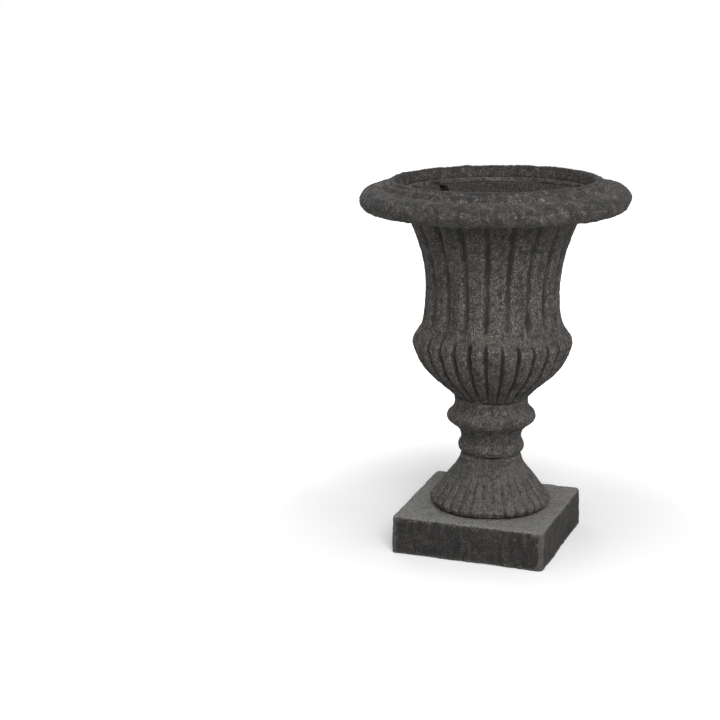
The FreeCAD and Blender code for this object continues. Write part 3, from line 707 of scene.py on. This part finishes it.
def makePlinth():
    setup = plinthSetup
    height, count = setup["height"], setup["pointsRound"]
    lean = math.tan(math.radians(setup["draft"]))
    edge, foot, corner = setup["topEdge"], setup["footEdge"], setup["cornerRadius"]
    rings = []

    def addSquare(inset, level, radius=corner):
        rings.append((squareRing(setup["half"] - inset, radius, count), level))

    def addRound(reach, level, share):
        square = squareRing(reach, corner, count)
        turn = np.arctan2(square[:, 1], square[:, 0])
        circle = np.stack([np.cos(turn), np.sin(turn)], 1) * reach
        rings.append((square * (1 - share) + circle * share, level))

    for bend in np.linspace(0, 1, 4):       # the bottom edge, rounded under
        turn = bend * math.pi / 2
        addSquare(foot * (1 - math.sin(turn)), foot * (1 - math.cos(turn)))
    for level in np.linspace(foot, height - edge, 26)[1:-1]:
        addSquare(level * lean, level)
    for bend in np.linspace(0, 1, 6):       # the top edge, worn round
        turn = bend * math.pi / 2
        addSquare(height * lean + edge * (1 - math.cos(turn)), height - edge + edge * math.sin(turn))
    deck = setup["half"] - height * lean - edge
    for share in np.linspace(0, 1, 17)[1:]:
        addRound(deck + (setup["bossRadius"] - deck) * share, height, smoothStep(share, 0.1, 0.9))
    addRound(setup["bossRadius"], height + setup["bossRise"], 1)
    addRound(setup["plugRadius"], height + setup["bossRise"], 1)
    plugRow = len(rings) - 1
    addRound(setup["plugRadius"], setup["ceiling"], 1)
    wall = setup["half"] - setup["wall"]
    for share in np.linspace(1, 0, 7)[1:-1]:
        addRound(setup["plugRadius"] * share + wall * (1 - share), setup["ceiling"], share)
    for level in np.linspace(setup["ceiling"], 0, 9):
        addSquare(setup["wall"], level, 3.0)
    addSquare(setup["wall"] / 2 + foot / 2, 0)
    points = np.array([[(x, y, level) for x, y in ring] for ring, level in rings])
    holes = [(0, 0, setup["rodHole"])] + drainHoles(3, setup["weepCircle"], setup["weepRadius"], 90)
    # the block came out of its mould a little out of square
    x, y = points[:, :, :1] / setup["half"], points[:, :, 1:2] / setup["half"]
    outer = smoothStep(np.maximum(abs(x), abs(y)), 0.7, 1.0)
    raised = smoothStep(points[:, :, 2:], 10, height - 8)
    for (sideX, sideY), (shiftX, shiftY, lift) in setup["corners"].items():
        share = outer * np.clip((1 + sideX * x) / 2, 0, 1) * np.clip((1 + sideY * y) / 2, 0, 1)
        points = points + share * np.concatenate([shiftX + 0 * x, shiftY + 0 * x, lift * raised], -1)
    points = weathered(points, 81, wave=1.2, rock=0.9, lump=0.6, pit=0.6)
    points[:, :, 2] = np.maximum(points[:, :, 2], 0)
    makePiece("square_plinth", points, "base", "plinth", plugRow, holes, edges=1.0)


# mortar: ragged rings squeezed between the castings

mortarSetup = {
    "lap_strip": {"outer": 157.6, "inner": 151.2, "ragged": 1.8, "shift": 101, "gap": 0, "lump": 6.0},
    "foot_bed": {"outer": 92.0, "inner": 82.7, "ragged": 1.4, "shift": 111, "gap": 2.0, "lump": 0},
    "stem_bed": {"outer": 48.0, "inner": 38.6, "ragged": 0.7, "shift": 121, "gap": 4.5, "lump": 0},
    "bowl_bed": {"outer": 60.2, "inner": 38.6, "ragged": 0.9, "shift": 131, "gap": 5.0, "lump": 0},
}
mortarTurns = 420


def makeMortar(node, setup):
    low, high = floorOf(node), topOf(node)
    outer, inner = setup["outer"], setup["inner"]
    section = corners([(outer, low), (outer, high), (inner, high), (inner, low), (outer, low)], 1.4)
    radius, level, angle = turnedGrid(section, mortarTurns)
    points = toPoints(radius, level, angle)
    ragged = cloudAt(points, 8, 4, setup["shift"])[:, :, 0] * setup["ragged"]
    fallen = smoothStep(cloudAt(points * (1, 1, 0), 26, 3, setup["shift"] + 7)[:, :, 0], -0.1, 0.5) * 0.55
    fallen = np.maximum(fallen, nearTurn(angle, gapTurn, 17) * 0.95)
    lump = (nearTurn(angle, ragTurn + 3, 4.5) + 0.55 * nearTurn(angle, ragTurn + 13, 3)) * setup["lump"]
    onOuter = radius > (outer + inner) / 2
    radius = radius + np.where(onOuter, ragged - fallen * setup["gap"], -ragged - lump * (1 + ragged * 0.3))
    points = settle(toPoints(radius, level, angle))
    # the groove value carries painted shade into the open joints
    makePiece(f"{node}_mortar", points, "mortar", node, groove=np.where(onOuter, fallen, lump / 9))


# the tie rod and what tightens it

rodSetup = {"radius": 6.0, "pitch": 1.75, "threadDepth": 0.9, "bevel": 1.2, "turns": 28}
nutSetup = {"across": 18.0, "bore": 6.05, "bevel": 0.6, "crownShare": 0.95, "turns": 72}
washerSetup = {"radius": 15.0, "bore": 6.7, "edge": 0.5, "turns": 64}


def makeRod():
    setup = rodSetup
    low, high = floorOf("tie_rod"), topOf("tie_rod")
    rows = int((high - low) / setup["pitch"] * 6)
    level = np.repeat(np.linspace(low, high, rows)[:, None], setup["turns"], 1)
    angle = np.repeat((np.arange(setup["turns"]) * fullTurn / setup["turns"])[None], rows, 0)
    climb = (level / setup["pitch"] - angle / fullTurn) % 1
    radius = setup["radius"] - setup["threadDepth"] * np.clip(np.abs(2 * climb - 1) * 1.25 - 0.1, 0, 1)
    ends = np.minimum(level - low, high - level)
    radius = np.minimum(radius, setup["radius"] - setup["bevel"] + ends)
    points = toPoints(radius, level, angle)
    makePiece("threaded_rod", points, "zinc", "tie_rod", rows - 1, smooth=False)


def makeNut(node):
    setup = nutSetup
    low, high = floorOf(node), topOf(node)
    angle = np.arange(setup["turns"]) * fullTurn / setup["turns"]
    flat = setup["across"] / 2 / np.cos((angle + math.pi / 6) % (math.pi / 3) - math.pi / 6)
    crown = np.full_like(flat, setup["across"] / 2 * setup["crownShare"])
    fall = (flat - crown) * math.tan(math.radians(30))
    bore = np.full_like(flat, setup["bore"])
    bevel, flush = setup["bevel"], 0 * fall
    radius = np.stack([bore + bevel, crown, flat, flat, crown, bore + bevel, bore, bore])
    level = np.stack([low + flush, low + flush, low + fall, high - fall, high + flush,
                      high + flush, high - bevel + flush, low + bevel + flush])
    points = toPoints(radius, level, np.repeat(angle[None], 8, 0))
    makePiece(f"{node}_hexagon", points, "zinc", node, smooth=False)


def makeWasher(node):
    setup = washerSetup
    low, high, edge = floorOf(node), topOf(node), setup["edge"]
    outer, bore = setup["radius"], setup["bore"]
    section = corners([(bore, low), (outer - edge, low), (outer, low + edge), (outer, high - edge),
                       (outer - edge, high), (bore, high), (bore, low)], 1.6)
    points = toPoints(*turnedGrid(section, setup["turns"]))
    makePiece(f"{node}_disc", points, "zinc", node, smooth=False)


makeBowl()
makeRim()
makeFoot()
makeStem()
makePlinth()
for mortarNode, mortarSizes in mortarSetup.items():
    makeMortar(mortarNode, mortarSizes)
makeRod()
for end in ("lower", "upper"):
    makeNut(f"{end}_nut")
    makeWasher(f"{end}_washer")
print("pieces built")

studioSetup = {
    "fill": 0.24,                           # the world's light on the urn
    "backdrop": 1.0,                        # the world as the camera sees it
    "floorColour": (0.93, 0.93, 0.93),
    "floorBounce": 0.34,                    # how pale the floor is to the light that it throws back
    "floorLift": 0.15,                      # what the camera sees added to the floor
    "liftFrom": 0.3, "liftTo": 1.0,         # between these the floor goes over into plain white
    "floorSize": 9.0,
    "lamps": {
        "overhead": {"place": (0.1, -0.5, 3.3), "size": 2.2, "watts": 42.0},
        "softbox": {"place": (1.1, -2.15, 2.0), "size": 1.5, "watts": 54.0},
        "keySide": {"place": (2.3, -0.8, 1.7), "size": 1.2, "watts": 7.0},
        "behind": {"place": (-1.6, 2.1, 1.6), "size": 1.5, "watts": 10.0},
    },
}


def seenByCamera(board):
    path = board.node("ShaderNodeLightPath", output="Is Camera Ray")
    glossy = board.node("ShaderNodeLightPath", output="Is Glossy Ray")
    through = board.node("ShaderNodeLightPath", output="Is Transmission Ray")
    return (path + glossy + through).atMost(1.0)


def makeStudio(setup):
    world = bpy.data.worlds.new("studio")
    bpy.context.scene.world = world
    board = Board(world)
    seen = seenByCamera(board)
    tint = board.mixed(seen, (setup["fill"],) * 3, (setup["backdrop"],) * 3)
    light = board.node("ShaderNodeBackground", {}, {"Color": tint, "Strength": 1.0})
    board.node("ShaderNodeOutputWorld", {}, {"Surface": light})
    material = bpy.data.materials.new("paleFloor")
    board = Board(material)
    cloth = board.cloud(900, 2, 0.5)
    fleck = tuple(channel * 0.985 for channel in setup["floorColour"])
    shade = board.mixed(cloth, setup["floorColour"], fleck)
    shade = board.mixed(seenByCamera(board), (setup["floorBounce"],) * 3, shade)
    matt = board.node("ShaderNodeBsdfDiffuse", {}, {"Color": shade})
    away = board.node("ShaderNodeVectorMath", {"operation": "LENGTH"}, {0: board.spot()}, "Value")
    lifted = setup["floorLift"] + away.between(setup["liftFrom"], setup["liftTo"]) * (1 - setup["floorLift"])
    glow = board.mixed(seenByCamera(board) * lifted, (0, 0, 0), (1, 1, 1))
    lift = board.node("ShaderNodeEmission", {}, {"Color": glow, "Strength": 1.0})
    both = board.node("ShaderNodeAddShader", {}, {0: matt, 1: lift})
    board.node("ShaderNodeOutputMaterial", {}, {"Surface": both})
    half = setup["floorSize"] / 2
    mesh = bpy.data.meshes.new("floor")
    square = [(-half, -half, 0), (half, -half, 0), (half, half, 0), (-half, half, 0)]
    mesh.from_pydata(square, [], [(0, 1, 2, 3)])
    mesh.materials.append(material)
    floor = bpy.data.objects.new("floor", mesh)
    bpy.context.scene.collection.objects.link(floor)
    for name, lamp in setup["lamps"].items():
        data = bpy.data.lights.new(name, "AREA")
        data.shape = "DISK"
        data.size = lamp["size"]
        data.energy = lamp["watts"]
        holder = bpy.data.objects.new(name, data)
        holder.location = lamp["place"]
        aim = Vector((0, 0, 0.3)) - Vector(lamp["place"])
        holder.rotation_euler = aim.to_track_quat("-Z", "Y").to_euler()
        bpy.context.scene.collection.objects.link(holder)
    bpy.context.scene.view_settings.view_transform = "Standard"


makeStudio(studioSetup)
print("studio lit")
